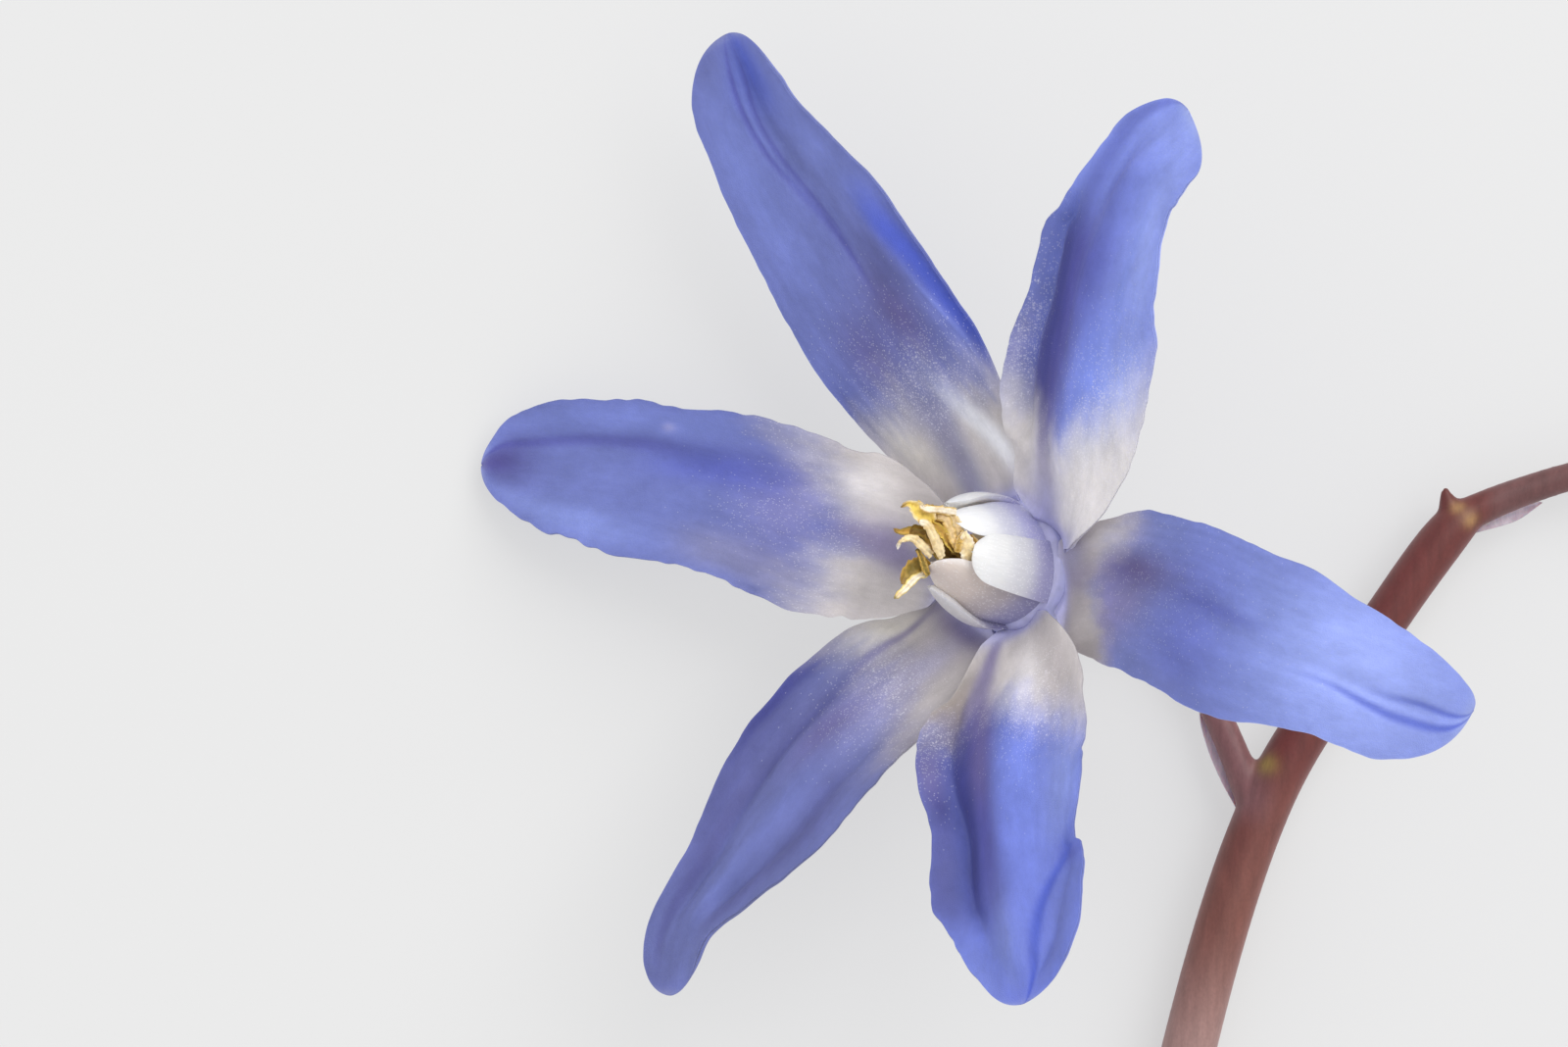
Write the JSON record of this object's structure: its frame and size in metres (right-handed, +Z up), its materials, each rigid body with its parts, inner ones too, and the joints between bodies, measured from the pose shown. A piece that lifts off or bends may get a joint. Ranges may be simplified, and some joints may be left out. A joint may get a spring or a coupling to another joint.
{
  "type": "forbes glory of the snow",
  "caption": "Starry violet-blue bulb flower with a white eye, a cone of white filaments and dry ochre anthers, on a picked forked stem with a closed bud, lying down.",
  "frame": {"origin": "centre of the bounding box's bottom face, on the surface that the sprig lies on", "axes": "+X to the right, with the open flower on the left and the bud on the right; +Y up the sprig, from the stem's cut end to the flower; +Z up from the surface"},
  "size_m": [0.0466, 0.0742, 0.0157],
  "materials": {
    "tepal_inner": "matt petal with a satin sheen, white at its base",
    "tepal_outer": "matt petal with a satin sheen, white at its base",
    "tube": "matt pale violet",
    "filament": "matt white",
    "anther": "dry, matt ochre",
    "pistil": "matt pale green",
    "stem": "smooth reddish brown, satin",
    "bud": "matt violet blue with a greenish base",
    "bract": "thin, dry, pale lilac"
  },
  "bodies": {
    "root": {"inner_tepal_left": "tepal_inner", "inner_tepal_upper_right": "tepal_inner", "inner_tepal_bottom": "tepal_inner", "outer_tepal_upper_left": "tepal_outer", "outer_tepal_lower_left": "tepal_outer", "outer_tepal_right": "tepal_outer", "filament_1": "filament", "filament_2": "filament", "filament_3": "filament", "filament_4": "filament", "filament_5": "filament", "filament_6": "filament", "anther_1": "anther", "anther_2": "anther", "anther_3": "anther", "anther_4": "anther", "anther_5": "anther", "anther_6": "anther", "perianth_tube": "tube", "pistil": "pistil", "scape": "stem", "flower_bud": "bud", "bract_lower": "bract", "bract_upper": "bract"}
  },
  "joints": []
}
